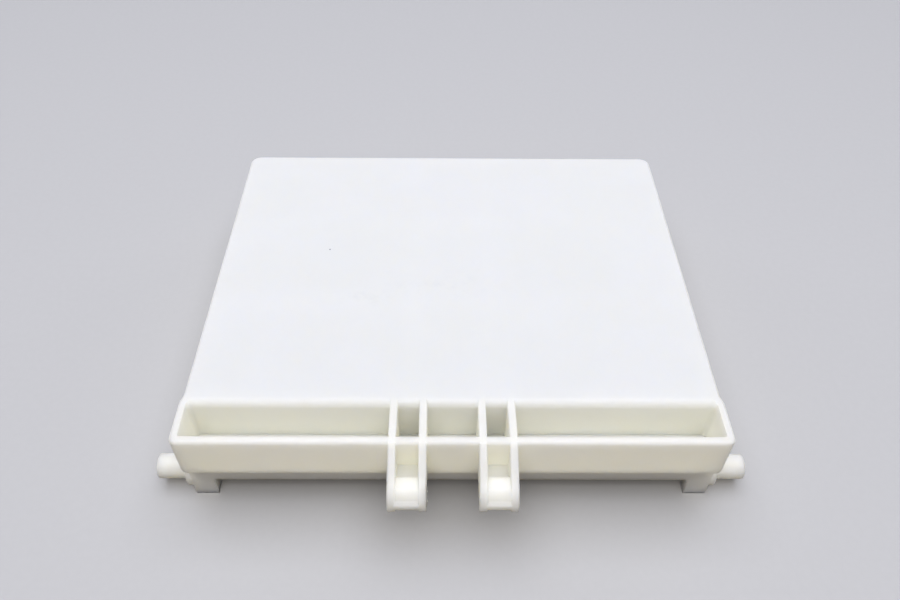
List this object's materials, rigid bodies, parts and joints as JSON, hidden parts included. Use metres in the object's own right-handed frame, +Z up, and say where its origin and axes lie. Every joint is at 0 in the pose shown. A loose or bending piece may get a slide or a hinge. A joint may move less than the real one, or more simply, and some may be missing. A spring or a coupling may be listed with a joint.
{
  "type": "injection moulded plastic housing",
  "caption": "Shallow open-bottomed plastic housing with a flat top, a front trough, forward channel arms and a pivot pin at each front corner.",
  "frame": {"origin": "middle of the overall footprint, on the plane the housing stands on", "axes": "+X across the housing along the pivot pins, +Y from the trough towards the rear edge, +Z up out of the top plate"},
  "size_m": [0.235, 0.196, 0.042],
  "materials": {
    "housing_plastic": "satin milky white moulded plastic"
  },
  "bodies": {
    "root": {"housing": "housing_plastic"}
  },
  "joints": []
}
